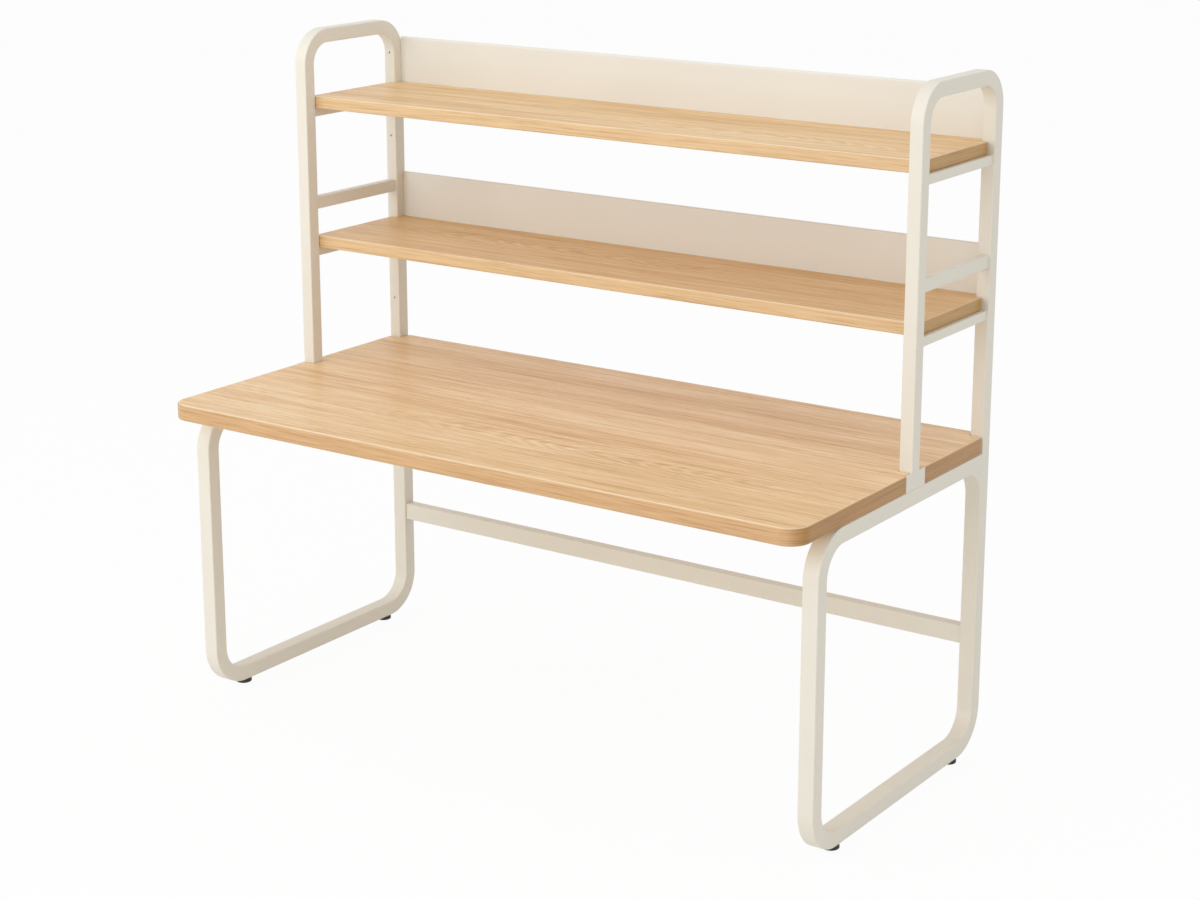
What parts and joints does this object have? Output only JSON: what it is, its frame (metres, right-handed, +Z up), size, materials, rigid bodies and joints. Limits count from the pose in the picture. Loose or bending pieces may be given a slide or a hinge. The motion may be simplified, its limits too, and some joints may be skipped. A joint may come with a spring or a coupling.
{
  "type": "student desk with hutch",
  "caption": "Student desk: oak top on loop-shaped steel tube legs, with a tubular hutch carrying open oak shelves with low back panels, a rear stretcher and levelling feet.",
  "frame": {"origin": "on the floor, at the middle of the desk's width and depth", "axes": "+X along the desk's width to the sitter's right, +Y from the sitter to the rear, +Z up"},
  "size_m": [1.6, 0.8, 1.485],
  "materials": {
    "powder_coat": "satin",
    "oak": "matt lacquer",
    "zinc_steel": "zinc plated",
    "foot_plastic": "moulded"
  },
  "bodies": {
    "frame": {"foot_nuts": "zinc_steel", "front_spigots": "zinc_steel", "left_front_leg_frame": "powder_coat", "left_front_socket": "powder_coat", "left_guard_bar": "powder_coat", "left_hutch_frame": "powder_coat", "left_lower_shelf_bar": "powder_coat", "left_rear_leg_frame": "powder_coat", "left_upper_shelf_bar": "powder_coat", "lock_screws": "zinc_steel", "lower_back_panel": "powder_coat", "lower_shelf": "oak", "panel_screws": "zinc_steel", "rear_spigots": "zinc_steel", "rear_stretcher": "powder_coat", "right_front_leg_frame": "powder_coat", "right_front_socket": "powder_coat", "right_guard_bar": "powder_coat", "right_hutch_frame": "powder_coat", "right_lower_shelf_bar": "powder_coat", "right_rear_leg_frame": "powder_coat", "right_upper_shelf_bar": "powder_coat", "shelf_screws": "zinc_steel", "shelf_tabs": "powder_coat", "socket_bolts": "zinc_steel", "stretcher_plugs": "zinc_steel", "stretcher_screws": "zinc_steel", "tabletop": "oak", "tabletop_screws": "zinc_steel", "tabletop_tabs": "powder_coat", "upper_back_panel": "powder_coat", "upper_shelf": "oak"},
    "front_left_foot": {"front_left_foot_pad": "foot_plastic", "front_left_foot_stud": "zinc_steel"},
    "front_right_foot": {"front_right_foot_pad": "foot_plastic", "front_right_foot_stud": "zinc_steel"},
    "rear_left_foot": {"rear_left_foot_pad": "foot_plastic", "rear_left_foot_stud": "zinc_steel"},
    "rear_right_foot": {"rear_right_foot_pad": "foot_plastic", "rear_right_foot_stud": "zinc_steel"}
  },
  "joints": [
    {"name": "front_left_foot_slide", "type": "slide", "parent": "frame", "child": "front_left_foot", "axis": [0, 0, -1], "range_m": [0, 0.01]},
    {"name": "front_right_foot_slide", "type": "slide", "parent": "frame", "child": "front_right_foot", "axis": [0, 0, -1], "range_m": [0, 0.01]},
    {"name": "rear_left_foot_slide", "type": "slide", "parent": "frame", "child": "rear_left_foot", "axis": [0, 0, -1], "range_m": [0, 0.01]},
    {"name": "rear_right_foot_slide", "type": "slide", "parent": "frame", "child": "rear_right_foot", "axis": [0, 0, -1], "range_m": [0, 0.01]}
  ]
}
